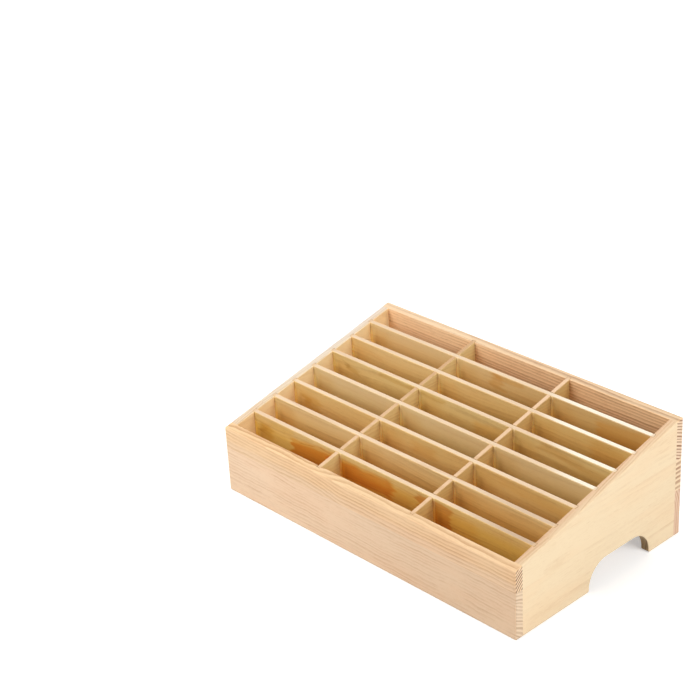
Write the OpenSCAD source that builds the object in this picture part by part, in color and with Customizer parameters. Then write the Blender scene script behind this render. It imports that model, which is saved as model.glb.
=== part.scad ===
// Wooden desk box that stores phones upright, in rows behind a low front wall.
// Millimetres, +Z up. The front faces -Y, and the origin is on the table under the middle of the box.
// The walls are boards glued up from strips. Two long dividers run from front to back, and the cross
// dividers lie over them in half-laps. Every divider end sits in a groove in its wall, the base board
// sits in a groove all round, and the rim and all the dividers are cut to one slope.

/* [Box] */
// Overall width, left to right
box_w = 336; // [280:1:410]
// Overall depth, front to back
box_d = 204; // [170:1:250]
// Height of the back wall
back_h = 110; // [90:1:140]
// Height of the front wall
front_h = 63; // [52:0.5:78]
// Thickness of the wall boards
wall_t = 8; // [6.5:0.1:12]
// Rounding of the outer edges
edge_r = 1.5; // [0.8:0.1:2.5]
// How far the sanding reaches along each face at the rim's inner edge, the cut-outs and the dividers' tops
arris = 0.4; // [0.2:0.05:0.6]

/* [Glued strips] */
// Width of the lowest strip of every wall
low_strip_w = 43.5; // [40:0.5:50]
// Width of the middle strip of the back and side walls
mid_strip_w = 29; // [22:0.5:36]

/* [Side cut-outs] */
// Width of the cut-out between the front and rear feet
cutout_w = 76; // [60:1:92]
// Height of the cut-out above the table
cutout_h = 24; // [19:0.5:29]
// Height above the table where the cut-out's corner arcs start
cutout_spring = 3; // [2.5:0.1:4]
// Rounding of the feet beside the cut-out
foot_tip_r = 2.5; // [1.5:0.1:3]
// Length of the rear feet
rear_foot_l = 41; // [30:1:52]

/* [Base board] */
// Thickness of the base board
base_t = 4; // [3:0.1:6]
// Wood left in the sides between the cut-out and the base board
base_land = 5; // [3:0.5:8]
// Depth of the base board's groove in the walls
base_seat = 3; // [2:0.1:4]

/* [Dividers] */
// Number of columns, left to right
columns = 3; // [2:1:4]
// Number of rows, front to back
rows = 8; // [4:1:10]
// Thickness of the dividers
divider_t = 4; // [3:0.1:5]
// Depth of the dividers' grooves in the walls
divider_seat = 2.5; // [1.5:0.1:3]

/* [Fits] */
// Clearance on each side of a board in its groove or notch
side_gap = 0.1; // [0.05:0.01:0.2]
// Clearance past the end of a board in its groove
end_gap = 0.3; // [0.1:0.05:0.5]
// Clearance between the notches of a half-lap, above the long divider's notch
lap_gap = 0.2; // [0.1:0.05:0.5]

/* [Hidden] */

$fn = 64;

// Overrun of every cut past the face that it opens
over = 0.5;

front_wood = "#dcbc9a";
back_wood = "#d9b08c";
side_wood = "#f2d9b5";
base_wood = "#c89b62";
divider_wood = "#d8b27a";

// Places of the outer and inner faces
half_w = box_w / 2;
half_d = box_d / 2;
inner_half_w = half_w - wall_t;
inner_half_d = half_d - wall_t;

// The slope that the rim and the dividers are cut to, as height gained over depth and as an angle
rise = (back_h - front_h) / box_d;
slope = atan(rise);
function rim_z(y) = front_h + (y + half_d) * rise;

// Heights of the glue lines
low_line_z = low_strip_w;
mid_line_z = low_strip_w + mid_strip_w;

// The base board stands clear above the cut-outs
base_z = cutout_h + base_land;
floor_z = base_z + base_t;

// The cut-out in each side
cutout_r = cutout_h - cutout_spring;
cutout_back_y = half_d - rear_foot_l;
cutout_front_y = cutout_back_y - cutout_w;
arc_y = [cutout_front_y + cutout_r, cutout_back_y - cutout_r];
tip_y = [cutout_front_y - foot_tip_r, cutout_back_y + foot_tip_r];

// Clear size of a compartment, and the middle plane of each divider
column_w = (2 * inner_half_w - (columns - 1) * divider_t) / columns;
row_d = (2 * inner_half_d - (rows - 1) * divider_t) / rows;
function long_x(i) = -inner_half_w + i * (column_w + divider_t) - divider_t / 2;
function cross_y(i) = -inner_half_d + i * (row_d + divider_t) - divider_t / 2;

// Half-laps meet halfway between the floor and the rim
function lap_z(i) = (floor_z + rim_z(cross_y(i))) / 2;

// How far a divider reaches from the middle of the box
long_reach = inner_half_d + divider_seat - end_gap;
cross_reach = inner_half_w + divider_seat - end_gap;

// Outline of a convex polygon with every corner rounded
function unit(v) = v / norm(v);
function corner(p, i) = [p[i], p[(i + len(p) - 1) % len(p)], p[(i + 1) % len(p)]];
function half_angle(c) = acos(unit(c[1] - c[0]) * unit(c[2] - c[0])) / 2;
function tangents(c, r) = [for (end = [1, 2]) c[0] + unit(c[end] - c[0]) * r / tan(half_angle(c))];
function centre(c, r) = c[0] + unit(unit(c[1] - c[0]) + unit(c[2] - c[0])) * r / sin(half_angle(c));
module rounded_polygon(p, r) {
    polygon([for (i = [0 : len(p) - 1]) for (t = tangents(corner(p, i), r)) t]);
    for (i = [0 : len(p) - 1])
        translate(centre(corner(p, i), r))
            circle(r);
}

module rounded_rectangle(low, high) {
    rounded_polygon([low, [high[0], low[1]], high, [low[0], high[1]]], edge_r);
}

// Draws a side view, given as depth and height, and makes it solid from x0 to x1
module across(x0, x1) {
    translate([x0, 0, 0])
        rotate([90, 0, 90])
            linear_extrude(x1 - x0)
                children();
}

// Draws a view square on to the slope, given as width and height above it, and extends it along the slope
module along_slope() {
    translate([0, 0, rim_z(0)])
        rotate([slope + 90, 0, 0])
            linear_extrude(2 * box_d, center = true)
                children();
}

// A box between two opposite corners
module block(low, high) {
    translate(low)
        cube(high - low);
}

// Section of the sanding along a top edge. The wood lies on the given side of the edge, under a top
// that gains the given height over its width.
module sanding(edge, side, gain) {
    down = edge - [0, arris];
    along = edge + side * arris * [1, gain];
    polygon([2 * down - along, 2 * along - down, 3 * edge - down - along]);
}

// The outside of the whole box, its outer edges rounded: the room that every wall strip is cut to
module outside() {
    intersection() {
        // From above
        translate([0, 0, -over])
            linear_extrude(back_h + 2 * over)
                rounded_rectangle([-half_w, -half_d], [half_w, half_d]);
        // From the side
        across(-half_w - over, half_w + over)
            rounded_polygon([[-half_d, 0], [half_d, 0], [half_d, back_h], [-half_d, front_h]], edge_r);
        // Square on to the slope, for the rounding of the two sloping edges
        along_slope()
            rounded_rectangle([-half_w, -2 * back_h], [half_w, 0]);
        // From the front, for the rounding of the two lower edges
        rotate([90, 0, 0])
            linear_extrude(2 * box_d, center = true)
                rounded_rectangle([-half_w, 0], [half_w, 2 * back_h]);
    }
}

// The groove for the base board
module base_room() {
    reach = [inner_half_w + base_seat, inner_half_d + base_seat, 0];
    block([0, 0, base_z] - reach, [0, 0, floor_z + side_gap] + reach);
}

// The grooves for the long dividers, in the front and back walls
module long_room() {
    for (i = [1 : columns - 1])
        block(
            [long_x(i) - divider_t / 2 - side_gap, -inner_half_d - divider_seat, base_z],
            [long_x(i) + divider_t / 2 + side_gap, inner_half_d + divider_seat, back_h + over]
        );
}

// The grooves for the cross dividers, in the two sides
module cross_room() {
    for (i = [1 : rows - 1])
        block(
            [-inner_half_w - divider_seat, cross_y(i) - divider_t / 2 - side_gap, base_z],
            [inner_half_w + divider_seat, cross_y(i) + divider_t / 2 + side_gap, back_h + over]
        );
}

// The cut-out between the feet, right through both sides
module cutout() {
    across(-half_w - over, half_w + over) {
        translate([cutout_front_y, -over])
            square([cutout_w, over + cutout_spring]);
        translate([arc_y[0], -over])
            square([arc_y[1] - arc_y[0], over + cutout_h]);
        for (y = arc_y)
            translate([y, cutout_spring])
                circle(cutout_r);
        // The rounded feet
        difference() {
            translate([tip_y[0], -over])
                square([tip_y[1] - tip_y[0], over + foot_tip_r]);
            for (y = tip_y)
                translate([y, foot_tip_r])
                    circle(foot_tip_r);
        }
    }
}

// The sanding of the cut-out's edge on one face of the side: the face is at x = 0, the wood beyond it
module cutout_edge() {
    reach = arris + over;
    // Round the arcs
    for (y = arc_y)
        translate([-over, y, cutout_spring])
            rotate([0, 90, 0])
                cylinder(reach, cutout_r + reach, cutout_r);
    // Between the arcs
    translate([0, arc_y[1], 0])
        rotate([90, 0, 0])
            linear_extrude(arc_y[1] - arc_y[0])
                polygon([[-over, 0], [arris, 0], [arris, cutout_h], [-over, cutout_h + reach]]);
    // Up the sides
    translate([0, 0, foot_tip_r])
        linear_extrude(cutout_spring - foot_tip_r)
            polygon([
                [-over, cutout_front_y - reach],
                [arris, cutout_front_y],
                [arris, cutout_back_y],
                [-over, cutout_back_y + reach]
            ]);
    // Round the feet
    difference() {
        block([-over, tip_y[0], -over], [arris, tip_y[1], foot_tip_r]);
        for (y = tip_y)
            translate([-over, y, foot_tip_r])
                rotate([0, 90, 0])
                    cylinder(reach, foot_tip_r - reach, foot_tip_r);
    }
    // Under the feet
    rotate([90, 0, 0])
        linear_extrude(box_d, center = true)
            polygon([[-over, -over], [reach, -over], [-over, reach]]);
}

// Walls, each from one height to another
module front_wall(low, high) {
    difference() {
        intersection() {
            outside();
            block([-half_w - over, -half_d - over, low], [half_w + over, -inner_half_d, high]);
        }
        base_room();
        long_room();
        across(-inner_half_w, inner_half_w)
            sanding([-inner_half_d, rim_z(-inner_half_d)], -1, rise);
    }
}

module back_wall(low, high) {
    difference() {
        intersection() {
            outside();
            block([-half_w - over, inner_half_d, low], [half_w + over, half_d + over, high]);
        }
        base_room();
        long_room();
        across(-inner_half_w, inner_half_w)
            sanding([inner_half_d, rim_z(inner_half_d)], 1, rise);
    }
}

module right_wall(low, high) {
    difference() {
        intersection() {
            outside();
            block([inner_half_w, -inner_half_d, low], [half_w + over, inner_half_d, high]);
        }
        base_room();
        cross_room();
        cutout();
        translate([inner_half_w, 0, 0])
            cutout_edge();
        translate([half_w, 0, 0])
            mirror([1, 0, 0])
                cutout_edge();
        along_slope()
            sanding([inner_half_w, 0], 1, 0);
    }
}

module left_wall(low, high) {
    mirror([1, 0, 0])
        right_wall(low, high);
}

module front_lower_strip() {
    color(front_wood)
        front_wall(0, low_line_z);
}

module front_upper_strip() {
    color(front_wood)
        front_wall(low_line_z, back_h);
}

module back_lower_strip() {
    color(back_wood)
        back_wall(0, low_line_z);
}

module back_middle_strip() {
    color(back_wood)
        back_wall(low_line_z, mid_line_z);
}

module back_upper_strip() {
    color(back_wood)
        back_wall(mid_line_z, back_h + over);
}

module left_side_lower_strip() {
    color(side_wood)
        left_wall(0, low_line_z);
}

module left_side_middle_strip() {
    color(side_wood)
        left_wall(low_line_z, mid_line_z);
}

module left_side_upper_strip() {
    color(side_wood)
        left_wall(mid_line_z, back_h + over);
}

module right_side_lower_strip() {
    color(side_wood)
        right_wall(0, low_line_z);
}

module right_side_middle_strip() {
    color(side_wood)
        right_wall(low_line_z, mid_line_z);
}

module right_side_upper_strip() {
    color(side_wood)
        right_wall(mid_line_z, back_h + over);
}

module base_board() {
    reach = [inner_half_w + base_seat - end_gap, inner_half_d + base_seat - end_gap, 0];
    color(base_wood)
        block([0, 0, base_z] - reach, [0, 0, floor_z] + reach);
}

// Runs from front to back, notched from above for every cross divider
module long_divider(i) {
    left_x = long_x(i) - divider_t / 2;
    right_x = long_x(i) + divider_t / 2;
    color(divider_wood)
        difference() {
            across(left_x, right_x)
                polygon([
                    [-long_reach, floor_z],
                    [long_reach, floor_z],
                    [long_reach, rim_z(long_reach)],
                    [-long_reach, rim_z(-long_reach)]
                ]);
            along_slope() {
                sanding([left_x, 0], 1, 0);
                sanding([right_x, 0], -1, 0);
            }
            for (k = [1 : rows - 1])
                block(
                    [long_x(i) - divider_t, cross_y(k) - divider_t / 2 - side_gap, lap_z(k)],
                    [long_x(i) + divider_t, cross_y(k) + divider_t / 2 + side_gap, back_h + over]
                );
        }
}

// Runs from side to side, notched from below for every long divider
module cross_divider(i) {
    front_y = cross_y(i) - divider_t / 2;
    rear_y = cross_y(i) + divider_t / 2;
    color(divider_wood)
        difference() {
            across(-cross_reach, cross_reach)
                polygon([
                    [front_y, floor_z],
                    [rear_y, floor_z],
                    [rear_y, rim_z(rear_y)],
                    [front_y, rim_z(front_y)]
                ]);
            across(-cross_reach - over, cross_reach + over) {
                sanding([front_y, rim_z(front_y)], 1, rise);
                sanding([rear_y, rim_z(rear_y)], -1, rise);
            }
            for (k = [1 : columns - 1])
                block(
                    [long_x(k) - divider_t / 2 - side_gap, front_y - over, floor_z - over],
                    [long_x(k) + divider_t / 2 + side_gap, rear_y + over, lap_z(i) + lap_gap]
                );
        }
}

front_lower_strip();
front_upper_strip();
back_lower_strip();
back_middle_strip();
back_upper_strip();
left_side_lower_strip();
left_side_middle_strip();
left_side_upper_strip();
right_side_lower_strip();
right_side_middle_strip();
right_side_upper_strip();
base_board();
for (i = [1 : columns - 1])
    long_divider(i);
for (i = [1 : rows - 1])
    cross_divider(i);
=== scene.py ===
"""A wooden phone storage box: planed pine walls, an interlocking grid of thin pine dividers, a base board."""

import bpy
from mathutils import Matrix, Vector


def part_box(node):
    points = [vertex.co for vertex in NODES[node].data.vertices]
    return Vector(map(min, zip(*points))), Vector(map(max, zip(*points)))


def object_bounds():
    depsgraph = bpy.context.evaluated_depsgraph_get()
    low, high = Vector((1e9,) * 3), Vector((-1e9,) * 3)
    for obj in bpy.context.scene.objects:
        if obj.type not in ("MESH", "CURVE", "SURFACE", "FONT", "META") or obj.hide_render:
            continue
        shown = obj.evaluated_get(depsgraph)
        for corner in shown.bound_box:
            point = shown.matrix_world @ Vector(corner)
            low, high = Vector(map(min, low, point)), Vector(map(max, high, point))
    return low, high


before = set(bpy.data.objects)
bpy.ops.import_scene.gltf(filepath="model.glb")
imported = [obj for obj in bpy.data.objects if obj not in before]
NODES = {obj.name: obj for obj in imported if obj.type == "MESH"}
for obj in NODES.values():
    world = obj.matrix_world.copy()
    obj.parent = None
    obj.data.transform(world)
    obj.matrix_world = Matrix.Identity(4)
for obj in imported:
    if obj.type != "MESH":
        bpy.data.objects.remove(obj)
cad_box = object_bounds()
MM = 1000.0


def edge(node, corner, axis):
    """Where a node's lowest (0) or highest (1) corner lies along an axis, in mm."""
    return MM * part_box(node)[corner][axis]


# Places on the box in mm
BOX_D = MM * (cad_box[1][1] - cad_box[0][1])
FRONT_H, BACK_H = 63.0, 110.0  # the rim above the table
RIM_SLOPE = (BACK_H - FRONT_H) / BOX_D
RIM_MIDDLE = (FRONT_H + BACK_H) / 2
OUTER_X = edge("right_side_middle_strip", 1, 0)
INNER_X = edge("right_side_middle_strip", 0, 0)
INNER_Y = edge("back_lower_strip", 0, 1)
COLUMN = edge("long_divider_2", 0, 0) - edge("long_divider_1", 0, 0)  # from one column of slots to the next
ROW = edge("cross_divider_2", 0, 1) - edge("cross_divider_1", 0, 1)
FIRST_BOARD_Y = edge("cross_divider_1", 0, 1)
CUT_Y, CUT_HALF_W, CUT_H = 23.0, 38.0, 24.0  # the hand cut-outs
# PAINTED_LIGHT_X is how far across x the painted light gradient runs.
PAINTED_LIGHT_X, LEAN_Y = 130.0, 90.0  # tints that change across the box do so between these and their negatives


def rgb(r, g, b):
    """A linear colour from the 0 to 255 values of a display."""
    def linear(v):
        v /= 255
        return v / 12.92 if v <= 0.04045 else ((v + 0.055) / 1.055) ** 2.4
    return (linear(r), linear(g), linear(b), 1.0)


class Graph:
    """Adds shader nodes to a material or a world. A value that is a socket is linked, any other is set."""

    def __init__(self, owner):
        owner.use_nodes = True
        self.tree = owner.node_tree
        self.tree.nodes.clear()

    def add(self, kind, inputs=None, **props):
        n = self.tree.nodes.new(kind)
        for name, value in props.items():
            setattr(n, name, value)
        for name, value in (inputs or {}).items():
            if isinstance(value, bpy.types.NodeSocket):
                self.tree.links.new(value, n.inputs[name])
            else:
                n.inputs[name].default_value = value
        return n

    def math(self, op, a, b=0.0, c=0.0, clamp=False):
        return self.add("ShaderNodeMath", {0: a, 1: b, 2: c}, operation=op, use_clamp=clamp).outputs[0]

    def product(self, first, *rest):
        for value in rest:
            first = self.math("MULTIPLY", first, value)
        return first

    def vector(self, x, y, z):
        return self.add("ShaderNodeCombineXYZ", {0: x, 1: y, 2: z}).outputs[0]

    def split(self, vector):
        return self.add("ShaderNodeSeparateXYZ", {0: vector}).outputs

    def channels(self, colour):
        return self.add("ShaderNodeSeparateColor", {0: colour}).outputs

    def noise(self, at, detail=1.0, rough=0.5, scale=1.0):
        """A noise from 0 to 1, and a colour whose channels are three noises."""
        inputs = {"Vector": at, "Scale": scale, "Detail": detail, "Roughness": rough}
        return self.add("ShaderNodeTexNoise", inputs).outputs

    def step(self, value, low, high, to_low=0.0, to_high=1.0):
        """Eases from to_low to to_high while the value goes from low to high."""
        inputs = {0: value, 1: low, 2: high, 3: to_low, 4: to_high}
        return self.add("ShaderNodeMapRange", inputs, interpolation_type="SMOOTHSTEP").outputs[0]

    def blend(self, share, a, b, kind="MIX"):
        return self.add("ShaderNodeMix", {0: share, 6: a, 7: b}, data_type="RGBA", blend_type=kind).outputs[2]

    def place(self):
        return self.add("ShaderNodeTexCoord").outputs["Object"]

    def seen(self):
        """1 for the rays that the camera sees by, straight, by reflection or through glass."""
        path = self.add("ShaderNodeLightPath").outputs
        indirect = self.math("MAXIMUM", path["Is Glossy Ray"], path["Is Transmission Ray"])
        return self.math("MAXIMUM", path["Is Camera Ray"], indirect)


class Pine(Graph):
    """The solid pine of one piece. rings and faces come first, and most others change self.colour.

    Lengths are in mm. a runs along the grain, b across it and c upwards, and depth is measured down from
    the sloping plane of the rim."""

    def __init__(self, name, along, seed):
        self.material = bpy.data.materials.new(name)
        super().__init__(self.material)
        self.along, self.seed = along, seed
        self.x, self.y, self.z = (self.math("MULTIPLY", v, MM) for v in self.split(self.place()))
        self.a, self.b = (self.x, self.y) if along == "x" else (self.y, self.x)
        self.c = self.z
        self.depth = self.math("SUBTRACT", self.math("MULTIPLY_ADD", self.y, RIM_SLOPE, RIM_MIDDLE), self.z)
        self.normal = self.split(self.add("ShaderNodeNewGeometry").outputs["Normal"])
        self.nx, self.ny, self.nz = (self.math("ABSOLUTE", n) for n in self.normal)
        self.top = self.step(self.normal[2], 0.55, 0.85)

    def spot(self, share_a, share_bc, shift):
        """A place to read noise at, with the lengths along and across the grain scaled by these shares."""
        return self.vector(self.math("MULTIPLY_ADD", self.a, share_a, self.seed + shift),
                           self.math("MULTIPLY", self.b, share_bc), self.math("MULTIPLY", self.c, share_bc))

    def wander(self, value, noise, reach):
        """Moves a value by up to reach either way."""
        return self.math("MULTIPLY_ADD", self.math("SUBTRACT", noise, 0.5), 2 * reach, value)

    def wrap(self, value, pitch):
        """The value's distance past the last whole multiple of the pitch."""
        return self.math("MULTIPLY", self.math("FRACT", self.math("DIVIDE", value, pitch)), pitch)

    def tint(self, share, factors):
        """Multiplies the colour by three factors, as far as share says."""
        self.colour = self.blend(share, self.colour, (*factors, 1), "MULTIPLY")

    def lay(self, share, colour):
        """Lays another colour over the colour."""
        self.colour = self.blend(share, self.colour, colour)

    def rings(self, pith, pitch, sway, ripple, curl, even, slide):
        """Growth rings round a pith. line is their dark late wood as faces show it, band as ends do."""
        drift = self.channels(self.noise(self.spot(1 / 150, 1 / 60, 0))[1])
        b = self.wander(self.math("SUBTRACT", self.b, pith[0]), drift[0], sway)
        c = self.wander(self.math("SUBTRACT", self.c, pith[1]), drift[1], sway)
        r = self.math("SQRT", self.math("ADD", self.math("MULTIPLY", b, b), self.math("MULTIPLY", c, c)))
        r = self.wander(r, self.noise(self.spot(1 / 36, 1 / 24, 7))[0], ripple)
        r = self.wander(r, self.noise(self.spot(1 / 12, 1 / 18, 13))[0], curl)
        if slide:
            x_from, x_to, shift = slide
            r = self.math("ADD", r, self.step(self.x, x_from, x_to, 0.0, shift))
        ring = self.math("DIVIDE", r, pitch)
        year = self.vector(self.math("MULTIPLY_ADD", ring, 0.31, self.seed), 0.0, 0.0)
        ring = self.wander(ring, self.noise(year)[0], 1.6 * (1 - even))
        number = self.math("ADD", self.math("FLOOR", ring), self.seed)
        weight = self.add("ShaderNodeTexWhiteNoise", {"W": number}, noise_dimensions="1D").outputs[0]
        weight = self.step(weight, 0.0, 1.0, even, 1.0)
        phase = self.math("FRACT", ring)
        self.line = self.product(self.step(phase, 0.15, 0.88), self.step(phase, 0.90, 1.0, 1.0, 0.0),
                                 weight)
        self.band = self.product(self.step(phase, 0.25, 0.62), self.step(phase, 0.88, 1.0, 1.0, 0.0),
                                 weight)

    def faces(self, early, late, strength, patchy, mottle, fade, rim_line):
        """Lines that come and go, fibres, resin ducts and clouds of colour."""
        patches = self.noise(self.spot(1 / 45, 1 / 11, 23), 2.0, 0.6)[0]
        here = self.step(patches, 0.36, 0.62, 1.0 - patchy, 1.0)
        line = self.product(self.line, here, self.step(self.x, *fade) if fade else 1.0)
        self.fibre = self.noise(self.spot(0.035, 1.9, 3), 3.0, 0.6)[0]
        self.cloud = self.channels(self.noise(self.spot(1 / 110, 1 / 26, 31), 3.0, 0.55)[1])
        duct = self.step(self.noise(self.spot(0.09, 2.6, 11), 0.0)[0], 0.73, 0.80)
        on_rim = self.math("MULTIPLY", self.line, self.step(self.normal[2], 0.9, 0.95))
        shade = self.math("MULTIPLY_ADD", on_rim, rim_line, self.math("MULTIPLY", line, strength))
        shade = self.wander(shade, self.fibre, 0.2)
        shade = self.wander(shade, self.noise(self.spot(0.3, 0.8, 41), 2.0)[0], 0.14)
        shade = self.wander(shade, self.cloud[0], mottle)
        self.shade = self.math("MULTIPLY_ADD", duct, 0.3, shade, clamp=True)
        self.colour = self.blend(self.shade, early, late)
        self.tint(self.step(self.cloud[1], 0.42, 0.62, 0.0, 0.5), (1.0, 0.93, 0.88))

    def streaks(self, streaks):
        """Resin streaks and knots with feathered, ragged edges."""
        x = self.wander(self.x, self.noise(self.spot(0.03, 0.3, 5), 2.0)[0], 10.0)
        depth = self.wander(self.depth, self.noise(self.spot(0.05, 0.1, 9), 3.0)[0], 3.0)
        dense = self.step(self.cloud[2], 0.35, 0.6, 0.75, 1.0)
        for x_from, x_to, depth_from, depth_to, height, soft, tint, share in streaks:
            slant = (depth_to - depth_from) / (x_to - x_from)
            upper = self.math("MULTIPLY_ADD", x, slant, depth_from - slant * x_from)
            below = self.math("SUBTRACT", depth, upper)
            self.tint(self.product(self.step(x, x_from - 2 * soft, x_from + 2 * soft, 0.0, share),
                                   self.step(x, x_to - 2 * soft, x_to + 2 * soft, 1.0, 0.0),
                                   self.step(below, -soft, soft),
                                   self.step(below, height - soft, height + soft, 1.0, 0.0), dense), tint)

    def glue(self, middle):
        """A paler band of wiped glue beside a joint, with a thin dark line where it ends."""
        off = self.math("SUBTRACT", self.x, middle)
        self.lay(self.product(self.step(off, -2.0, -1.4), self.step(off, 0.9, 1.3, 0.3, 0.0)),
                 rgb(240, 218, 176))
        self.tint(self.product(self.step(off, 1.0, 1.3), self.step(off, 1.5, 1.9, 0.2, 0.0)),
                  (0.5, 0.38, 0.3))

    def lean(self, left, right):
        """Tints the piece from its left part to its right part: painted light, brighter on the left and
        dimmer on the right.
        """
        tint = self.blend(self.step(self.x, -PAINTED_LIGHT_X, PAINTED_LIGHT_X), (*left, 1), (*right, 1))
        self.colour = self.blend(1.0, self.colour, tint, "MULTIPLY")

    def slot_corners(self):
        """A cross divider beside each slot's left end, with painted light and shade: pale first, above all
        low down, where painted light lifts the corner's shade, and then warmer and darker, a painted shade.
        """
        off = self.wrap(self.math("ADD", self.x, INNER_X), COLUMN)
        self.tint(self.product(self.step(off, 0.3, 4.0, 1.0, 0.0), self.step(self.depth, -6.0, 10.0)),
                  (1.22, 1.25, 1.12))
        self.tint(self.product(self.step(off, 2.0, 8.5, 1.0, 0.0), self.step(self.depth, 3.0, 12.5)),
                  (1.47, 1.67, 1.80))
        self.tint(self.product(self.step(off, 1.6, 3.6), self.step(off, 5.0, 12.0, 1.0, 0.3),
                               self.step(off, 17.0, 34.0, 1.0, 0.0)), (0.935, 0.925, 0.85))
        self.tint(self.product(self.step(off, 5.0, 9.5), self.step(off, 16.0, 34.0, 1.0, 0.0),
                               self.step(self.depth, 2.0, 6.0)), (0.965, 0.92, 0.84))

    def wall_corners(self):
        """A face along y, a little paler just in front of each cross divider: painted light that lifts the
        shade of the joint.
        """
        off = self.wrap(self.math("SUBTRACT", FIRST_BOARD_Y, self.y), ROW)
        inside = self.step(self.math("ABSOLUTE", self.x), INNER_X + 1.0, INNER_X + 2.0, 1.0, 0.0)
        self.tint(self.math("MULTIPLY", self.step(off, 0.4, 1.8, 1.0, 0.0), inside), (1.09, 1.10, 1.12))

    def sanded_top(self, early, late, far):
        """A divider's freshly sanded top, with another tone at its far end and where it is seated. On the
        rear cross dividers that far tone is a painted sheen.
        """
        top = self.blend(self.math("MULTIPLY", self.shade, 0.8), early, late)
        tone, start, end, share = far
        top = self.blend(self.step(self.a, start, end, 0.0, share), top, tone)
        seat = INNER_X if self.along == "x" else INNER_Y
        seated = self.step(self.math("ABSOLUTE", self.a), seat - 1.5, seat + 1.0, 0.0, 0.6)
        self.lay(self.top, self.blend(seated, top, rgb(216, 180, 140)))

    def side_rim(self, front, back, at_inner, at_outer):
        """Tints a side's rim from front to back, by one share at its inner edge and another at the outer."""
        tint = self.blend(self.step(self.y, -LEAN_Y, LEAN_Y), (*front, 1), (*back, 1))
        across = self.step(self.math("ABSOLUTE", self.x), INNER_X + 0.5, OUTER_X, at_inner, at_outer)
        self.colour = self.blend(self.math("MULTIPLY", self.top, across), self.colour, tint, "MULTIPLY")

    def painted_edge_highlight(self):
        """Paler edges in patches: a painted highlight on the rounded and chamfered edges."""
        flat = self.math("MAXIMUM", self.nx, self.math("MAXIMUM", self.ny, self.nz))
        highlight_patches = self.step(self.fibre, 0.3, 0.6, 0.25, 0.7)
        self.tint(self.math("MULTIPLY", self.step(flat, 0.84, 0.95, 1.0, 0.0), highlight_patches), (1.10, 1.08, 1.06))

    def end_grain(self, early, late, strength):
        """The ends, where the rings show as broad bands between pores."""
        self.pores = self.noise(self.spot(0.3, 1.4, 17), 3.0, 0.7)[0]
        dark = self.wander(self.math("MULTIPLY", self.band, strength), self.pores, 0.25)
        dark = self.math("MAXIMUM", dark, 0.0, clamp=True)
        end = self.step(self.nx if self.along == "x" else self.ny, 0.72, 0.92)
        self.lay(end, self.blend(dark, early, late))

    def cut_scorch_and_painted_shade(self):
        """The faces of the hand cut-out, darkened brown: scorch from the cutter, and painted shade inside the
        cut-out.
        """
        off = self.math("ABSOLUTE", self.math("SUBTRACT", self.y, CUT_Y))
        inside = self.product(self.step(self.nx, 0.3, 0.7, 0.85, 0.0),
                              self.step(self.z, CUT_H + 0.4, CUT_H + 1.2, 1.0, 0.0),
                              self.step(off, CUT_HALF_W + 0.6, CUT_HALF_W + 1.4, 1.0, 0.0))
        brown = self.math("MULTIPLY_ADD", self.line, 0.6, self.math("MULTIPLY", self.pores, 0.5))
        self.lay(inside, self.blend(brown, rgb(184, 152, 104), rgb(104, 68, 40)))

    def surface(self):
        """The shader, with gloss and relief from the rings and the fibres."""
        rough = self.math("MULTIPLY_ADD", self.fibre, 0.12, self.step(self.line, 0.0, 1.0, 0.54, 0.42))
        height = self.math("MULTIPLY_ADD", self.line, 0.5, self.fibre)
        bump = self.add("ShaderNodeBump", {"Strength": 0.35, "Distance": 0.0002, "Height": height})
        shader = self.add("ShaderNodeBsdfPrincipled", {"Base Color": self.colour, "Roughness": rough,
                                                       "Specular IOR Level": 0.35, "Normal": bump.outputs[0]})
        self.add("ShaderNodeOutputMaterial", {"Surface": shader.outputs[0]})


def dimmed(tone):
    return (*(0.8 * v for v in tone[:3]), 1)


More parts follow.
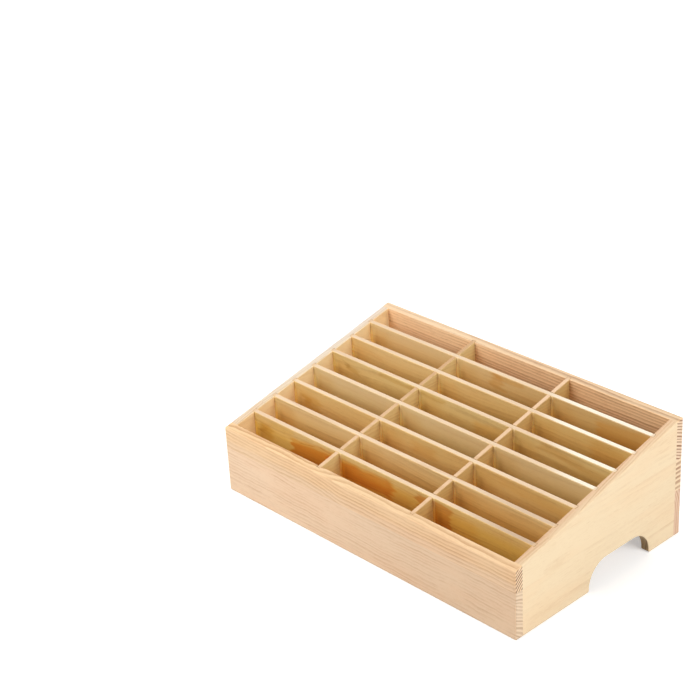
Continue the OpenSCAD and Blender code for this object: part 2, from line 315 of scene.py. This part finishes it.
def cover(node, along, pith, pitch, early, late, strength, seed, sway=4.0, ripple=0.5, curl=0.2, even=0.5,
          patchy=0.6, mottle=0.16, slide=None, fade=None, rim_line=0.25, streaks=(), glue=(), deep=None,
          lean=None, corners=False, fresh=None, far=None, rim=None, side_rim=None, inner=None, ends=None,
          end_strength=0.8, cut=False):
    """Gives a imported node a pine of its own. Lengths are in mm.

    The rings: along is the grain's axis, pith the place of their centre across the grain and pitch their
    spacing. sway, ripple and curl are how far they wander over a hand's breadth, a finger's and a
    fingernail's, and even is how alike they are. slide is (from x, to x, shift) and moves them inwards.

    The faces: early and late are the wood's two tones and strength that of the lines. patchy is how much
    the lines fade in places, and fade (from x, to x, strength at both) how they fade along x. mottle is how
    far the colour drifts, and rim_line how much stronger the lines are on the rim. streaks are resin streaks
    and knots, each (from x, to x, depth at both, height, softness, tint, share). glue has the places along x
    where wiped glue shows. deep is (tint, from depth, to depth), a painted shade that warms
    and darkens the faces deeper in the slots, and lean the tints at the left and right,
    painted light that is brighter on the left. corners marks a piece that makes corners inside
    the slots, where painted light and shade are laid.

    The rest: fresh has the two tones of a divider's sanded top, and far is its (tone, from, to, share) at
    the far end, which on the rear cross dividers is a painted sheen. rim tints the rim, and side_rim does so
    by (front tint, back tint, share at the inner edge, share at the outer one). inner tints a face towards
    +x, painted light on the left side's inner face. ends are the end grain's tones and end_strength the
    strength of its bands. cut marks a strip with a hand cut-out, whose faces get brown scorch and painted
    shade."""
    wood = Pine("pine_" + node, along, seed)
    wood.rings(pith, pitch, sway, ripple, curl, even, slide)
    wood.faces(early, late, strength, patchy, mottle, fade, rim_line)
    if streaks:
        wood.streaks(streaks)
    for middle in glue:
        wood.glue(middle)
    # Painted shade: the faces warmer and darker deeper in the slots, where less light reaches.
    if deep:
        tint, start, end = deep
        wood.tint(wood.step(wood.depth, start, end), tint)
    # Painted light: the piece brighter on its left and dimmer on its right, as the light falls.
    if lean:
        wood.lean(*lean)
    # Painted light and shade at the corners inside the slots.
    if corners and along == "x":
        wood.slot_corners()
    elif corners:
        wood.wall_corners()
    if fresh:
        wood.sanded_top(*fresh, far)
    if rim:
        wood.tint(wood.top, rim)
    if side_rim:
        wood.side_rim(*side_rim)
    # Painted light: inner brightens the left side's inner face as if more light fell on it.
    if inner:
        wood.tint(wood.step(wood.normal[0], 0.5, 0.9), inner)
    # Painted highlight along the edges.
    wood.painted_edge_highlight()
    wood.end_grain(*(ends or (dimmed(early), dimmed(late))), end_strength)
    # Painted shade: the lowest 2 mm greyed, a painted contact shadow where the piece stands on the table.
    painted_contact_shadow = wood.step(wood.z, 0.3, 2.2, 0.6, 0.0)
    wood.tint(painted_contact_shadow, (0.66, 0.64, 0.64))
    # The cut-out's faces: brown scorch and painted shade.
    if cut:
        wood.cut_scorch_and_painted_shade()
    wood.surface()
    slots = NODES[node].data.materials
    slots.clear()
    slots.append(wood.material)


# The walls and the base board
PINK = (rgb(218, 188, 156), rgb(173, 126, 87))
ORANGE = (rgb(221, 188, 149), rgb(166, 113, 67))
BACK = (rgb(237, 198, 152), rgb(150, 94, 56))
PALE_BACK = (rgb(236, 198, 156), rgb(196, 144, 104))
CREAM = (rgb(227, 205, 170), rgb(189, 147, 97))
GOLD = (rgb(226, 188, 122), rgb(186, 130, 66))

cover("front_lower_strip", "x", (-125, -30), 2.9, *PINK, 0.42, seed=1, ripple=1.2, curl=0.9, patchy=0.95,
      lean=((1.052, 1.066, 1.084), (0.958, 0.955, 0.95)),
      ends=(rgb(221, 196, 166), rgb(160, 122, 90)), end_strength=0.6)
cover("front_upper_strip", "x", (-45, 0), 2.3, *ORANGE, 0.50, seed=2, sway=2.5, ripple=0.8, curl=0.5,
      even=0.7, patchy=0.45, slide=(-68, -16, 4.5), rim=(1.06, 1.09, 1.09),
      lean=((1.028, 1.008, 0.952), (1.013, 0.987, 0.952)),
      streaks=[(-220, 220, 12, 12, 40, 3.0, (0.97, 1.0, 1.10), 1.0)],
      ends=(rgb(236, 204, 165), rgb(105, 65, 47)), end_strength=1.0)
cover("back_lower_strip", "x", (10, 10), 3.5, *PALE_BACK, 0.3, seed=3,
      ends=(rgb(217, 185, 157), rgb(175, 122, 87)))
cover("back_middle_strip", "x", (98, -150), 4.6, *BACK, 0.55, seed=4, sway=2, even=0.7,
      ends=(rgb(229, 203, 168), rgb(149, 104, 71)), end_strength=0.9)
cover("back_upper_strip", "x", (36, -61), 2.75, *BACK, 0.64, seed=5, sway=2, ripple=0.6, even=0.7,
      patchy=0.35, fade=(-130, -10, 0.55, 1.0), rim=(0.945, 1.042, 1.18), rim_line=0.0,
      lean=((1.05, 1.05, 1.06), (0.97, 0.955, 0.925)),
      ends=(rgb(231, 203, 172), rgb(144, 103, 70)), end_strength=1.0)
cover("base_board", "x", (0, -140), 5.0, *GOLD, 0.6, seed=14)


def side(name, outward, seed, **look):
    """Covers the three strips of a side. outward is -1 for the left side and 1 for the right one."""
    look.update(rim_line=0.4, even=0.2, patchy=0.8, corners=True)
    cover(f"{name}_side_lower_strip", "y", (outward * 215, -4), 3.2, *CREAM, 0.30, seed, cut=True, **look)
    cover(f"{name}_side_middle_strip", "y", (outward * 235, 48), 3.0, *CREAM, 0.26, seed + 1, **look)
    cover(f"{name}_side_upper_strip", "y", (outward * 225, 112), 2.6, *CREAM, 0.32, seed + 2, **look)


# The left side's inner tint is painted light on its inner face.
side("left", outward=-1, seed=6, side_rim=((0.944, 0.96, 1.096), (1.007, 1.134, 1.54), 0.4, 1.0),
     inner=(1.20, 1.114, 0.90))
side("right", outward=1, seed=10, side_rim=((0.857, 0.714, 0.647), (0.98, 0.837, 0.784), 1.0, 0.35))


# The dividers
def long_divider(number, pith_x, early, late, far):
    cover(f"long_divider_{number}", "y", (pith_x, -60), 3.4, early, late, 0.4, seed=14 + number,
          deep=((0.98, 0.85, 0.65), 0, 24), corners=True,
          fresh=(rgb(221, 185, 147), rgb(197, 153, 105)), far=far)


long_divider(1, -60, rgb(217, 188, 128), rgb(178, 129, 70), far=(rgb(194, 152, 106), -80.0, 60.0, 0.75))
long_divider(2, 60, rgb(197, 162, 101), rgb(161, 111, 53), far=(rgb(231, 196, 160), -40.0, 80.0, 0.8))

SANDED = (rgb(226, 200, 168), rgb(206, 169, 132))
# PAINTED_SHEEN is a painted highlight: the whitish sheen of light on the right ends of the rear dividers'
# tops.
DULL, PAINTED_SHEEN = rgb(186, 158, 130), rgb(246, 240, 222)
GLUE = [edge("long_divider_1", 1, 0) + 1.4, edge("long_divider_2", 1, 0) + 1.4]
# Tints of streaks
AMBER = (0.96, 0.75, 0.44)
STAIN = (0.88, 0.58, 0.22)
KNOT = (0.85, 0.72, 0.42)
DARK_KNOT = (0.84, 0.76, 0.56)
WARM = (0.95, 0.85, 0.68)
LINE = (0.78, 0.60, 0.40)


def cross_divider(number, pith, pitch, early, late, strength, sway, **look):
    cover(f"cross_divider_{number}", "x", pith, pitch, early, late, strength, seed=16 + number, sway=sway,
          even=0.3, mottle=0.26, fresh=SANDED, corners=True, glue=GLUE, **look)


cross_divider(
    1, (-20, -60), 3.6, rgb(216, 183, 119), rgb(178, 127, 64), 0.42, sway=9, far=(DULL, 60.0, 150.0, 0.85),
    deep=((0.97, 0.88, 0.52), 1.5, 13), lean=((1.02, 1.03, 1.05), (0.99, 0.97, 0.86)),
    streaks=[(-112, -52, 7.5, 1.5, 40, 1.2, AMBER, 0.9),
             (-112, -62, 11.5, 7.0, 40, 1.2, STAIN, 0.85),
             (-138, -110, 1.5, 2, 5, 1.5, (0.98, 0.94, 0.72), 0.9),
             (-136, -112, 8.5, 9, 4, 1.5, (1.05, 1.08, 1.20), 0.9),
             (-102, -82, 8.6, 5.6, 0.9, 0.4, LINE, 0.8),
             (-74, -58, 4.6, 6.4, 0.9, 0.4, LINE, 0.8),
             (-153, -138, 8, 8, 12, 2.0, KNOT, 0.9),
             (-154, -146, 10, 10, 7, 1.5, DARK_KNOT, 0.9),
             (-64, 11, 6.8, 2.2, 40, 1.2, AMBER, 1.0),
             (-64, 8, 8.8, 4.4, 15, 1.3, STAIN, 0.9),
             (-30, 30, 12, 13, 40, 2.0, STAIN, 0.3),
             (2, 60, 7.5, 4, 40, 2.5, (0.95, 0.80, 0.60), 0.9),
             (38, 76, 3.2, 3.2, 40, 1.2, (0.80, 0.48, 0.19), 1.0),
             (76, 104, 4, 6, 40, 3.0, WARM, 1.0)])
cross_divider(
    2, (10, -20), 3.0, rgb(220, 188, 130), rgb(170, 126, 70), 0.45, sway=6, far=(DULL, 40.0, 130.0, 0.55),
    deep=((0.95, 0.83, 0.54), 0, 24), lean=((1.0, 1.0, 1.03), (0.99, 0.95, 0.88)),
    streaks=[(-152, -134, 5, 5, 20, 3.0, (0.96, 0.91, 0.86), 0.9),
             (60, 158, 4, 4, 40, 3.0, WARM, 0.6)])
cross_divider(
    3, (0, -90), 4.4, rgb(213, 176, 110), rgb(175, 122, 58), 0.3, sway=8, far=(PAINTED_SHEEN, 30.0, 110.0, 0.05),
    deep=((1.02, 0.93, 0.80), 0, 24), lean=((1.03, 1.03, 1.06), (0.98, 0.97, 0.94)),
    streaks=[(-149, -126, 7, 9, 14, 2.0, KNOT, 0.7),
             (-149, -138, 10, 10, 8, 1.5, (0.88, 0.80, 0.62), 0.9),
             (-14, 14, 4, 5, 12, 2.5, WARM, 0.9),
             (84, 158, 1, 5, 9, 3.0, WARM, 0.8)])
cross_divider(
    4, (30, 260), 5.2, rgb(214, 186, 138), rgb(185, 146, 94), 0.18, sway=6, far=(PAINTED_SHEEN, 105.0, 145.0, 0.7),
    deep=((0.98, 0.91, 0.68), 0, 24), lean=((1.03, 1.03, 1.0), (0.97, 0.95, 0.86)))
cross_divider(
    5, (64, 58), 4.6, rgb(214, 183, 120), rgb(166, 122, 65), 0.45, sway=10, far=(PAINTED_SHEEN, 80.0, 125.0, 0.75),
    deep=((0.99, 0.87, 0.64), 0, 24), lean=((1.03, 1.03, 1.05), (0.98, 0.97, 0.95)),
    streaks=[(-98, -22, 0.5, 1.5, 4, 1.2, (0.92, 0.84, 0.66), 1.0),
             (12, 50, 8, 6, 12, 2.0, AMBER, 0.6),
             (-147, -140, 4, 6, 5, 1.0, (0.84, 0.80, 0.72), 0.9),
             (-144, -127, 6.5, 10, 4, 1.0, (0.84, 0.76, 0.60), 1.0),
             (-114, -94, 9, 10, 12, 2.5, (1.12, 1.14, 1.16), 0.8),
             (84, 156, 0.5, 8, 7, 2.0, (0.92, 0.82, 0.68), 1.0)])
cross_divider(
    6, (30, -40), 3.8, rgb(217, 180, 116), rgb(179, 124, 62), 0.35, sway=8, far=(PAINTED_SHEEN, 55.0, 95.0, 0.75),
    deep=((0.98, 0.89, 0.68), 0, 24), lean=((1.06, 1.09, 1.18), (0.95, 0.92, 0.80)),
    streaks=[(-136, -118, 7, 9, 5, 2.0, (0.96, 0.91, 0.85), 0.8),
             (118, 156, 1, 3, 40, 3.0, WARM, 0.9)])
cross_divider(
    7, (90, -80), 4.0, rgb(211, 176, 118), rgb(173, 121, 63), 0.35, sway=8, far=(PAINTED_SHEEN, 40.0, 85.0, 0.75),
    deep=((1.0, 0.91, 0.67), 0, 24), lean=((1.09, 1.12, 1.25), (0.94, 0.90, 0.80)),
    streaks=[(-153, -140, 10, 9, 9, 1.5, (0.90, 0.84, 0.72), 0.8),
             (-12, 2, 1, 1, 14, 1.5, (0.92, 0.80, 0.62), 0.9),
             (-8, 26, 0.5, 1, 4, 1.0, WARM, 1.0),
             (106, 160, 5, 1, 40, 2.5, AMBER, 0.9)])


# Studio light, in metres and watts
CENTRE = (0.0, 0.0, 0.05)
FLOOR_SIZE = 16
WHITE = (1, 1, 1, 1)


def lamp(name, place, size, power):
    """A square soft light that points at the box's centre."""
    data = bpy.data.lights.new(name, "AREA")
    data.shape, data.size, data.energy = "SQUARE", size, power
    obj = bpy.data.objects.new(name, data)
    obj.location = place
    obj.rotation_euler = (Vector(place) - Vector(CENTRE)).to_track_quat("Z", "Y").to_euler()
    bpy.context.scene.collection.objects.link(obj)


lamp("left_front", (-0.62, -0.94, 0.88), 1.1, 17.3)
lamp("right", (1.6, 0.1, 0.9), 1.0, 22.2)
lamp("back", (-0.8, 1.2, 1.4), 0.8, 6.5)
lamp("behind", (0.0, 2.4, 0.35), 0.7, 14.0)

world = bpy.data.worlds.new("studio")
bpy.context.scene.world = world
g = Graph(world)
sky = g.add("ShaderNodeBackground", {"Color": WHITE, "Strength": g.step(g.seen(), 0.0, 1.0, 0.3, 1.0)})
g.add("ShaderNodeOutputWorld", {"Surface": sky.outputs[0]})

# A paper floor, lifted to white away from the box for the camera's rays
bpy.ops.mesh.primitive_plane_add(size=FLOOR_SIZE, location=(0, 0, 0))
floor = bpy.context.object
floor.name = "floor"
paper = bpy.data.materials.new("paper")
g = Graph(paper)
fibres = g.noise(g.place(), 2.0, scale=900.0)[0]
white = g.blend(fibres, (0.80, 0.80, 0.80, 1), (0.83, 0.83, 0.83, 1))
matt = g.add("ShaderNodeBsdfDiffuse", {"Color": white})
away = g.add("ShaderNodeVectorMath", {0: g.place()}, operation="LENGTH").outputs["Value"]
glow = g.math("MULTIPLY", g.seen(), g.step(away, 0.7, 2.5, 0.42, 0.85))
lift = g.add("ShaderNodeEmission", {"Color": WHITE, "Strength": glow})
both = g.add("ShaderNodeAddShader", {0: matt.outputs[0], 1: lift.outputs[0]})
g.add("ShaderNodeOutputMaterial", {"Surface": both.outputs[0]})
floor.data.materials.append(paper)

# The photograph's camera: its place in metres, its lens and sensor in mm, and its picture's directions
EYE = (0.9122, -0.9353, 0.8162)
LENS, SENSOR = 91.844, 36
RIGHT = (0.69187, 0.72026, -0.05037)
DOWN = (0.29382, -0.34458, -0.89159)
FORWARD = (-0.65954, 0.60207, -0.45003)

camera = bpy.data.objects.new("camera", bpy.data.cameras.new("camera"))
camera.data.sensor_width = SENSOR
camera.data.lens = LENS
camera.data.clip_start, camera.data.clip_end = 0.01, 50
turn = Matrix((RIGHT, [-v for v in DOWN], [-v for v in FORWARD])).transposed()
camera.matrix_world = Matrix.Translation(EYE) @ turn.to_4x4()
bpy.context.scene.collection.objects.link(camera)
bpy.context.scene.camera = camera
bpy.context.scene.view_settings.view_transform = "Standard"
